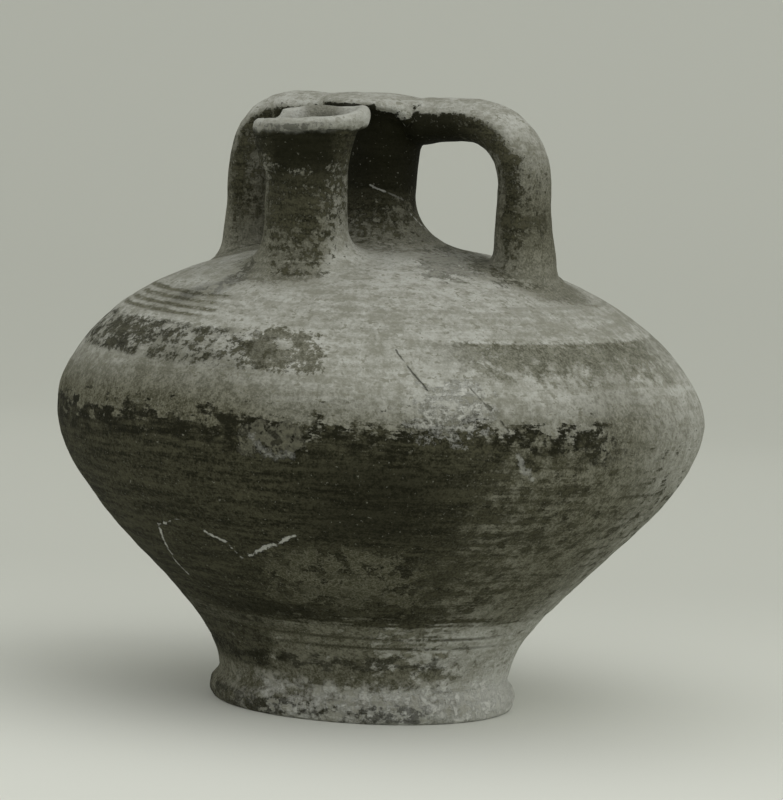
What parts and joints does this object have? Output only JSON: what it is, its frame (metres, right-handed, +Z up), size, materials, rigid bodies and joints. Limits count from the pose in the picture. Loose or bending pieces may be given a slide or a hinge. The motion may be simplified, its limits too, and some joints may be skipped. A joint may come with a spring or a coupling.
{
  "type": "stirrup jar",
  "caption": "Round clay stirrup jar with a closed false neck under a disc, loop handles down to the shoulder and a tubular pouring spout, on a ring foot.",
  "frame": {"origin": "Middle of the foot ring, on the surface that the jar stands on.", "axes": "+Z is up. The handles lie along X, and the spout stands towards -Y."},
  "size_m": [0.18, 0.18, 0.169],
  "materials": {
    "pale_clay": "matt fired clay with painted lines, worn",
    "painted_clay": "matt dark paint on clay, flaking",
    "worn_clay": "matt clay with the remains of dark paint"
  },
  "bodies": {
    "root": {"foot_ring": "worn_clay", "lower_body": "painted_clay", "shoulder": "pale_clay", "false_neck": "painted_clay", "neck_disc": "worn_clay", "left_handle": "painted_clay", "right_handle": "painted_clay", "spout": "painted_clay", "spout_luting": "worn_clay", "neck_luting": "worn_clay", "left_handle_luting": "worn_clay", "right_handle_luting": "worn_clay"}
  },
  "joints": []
}
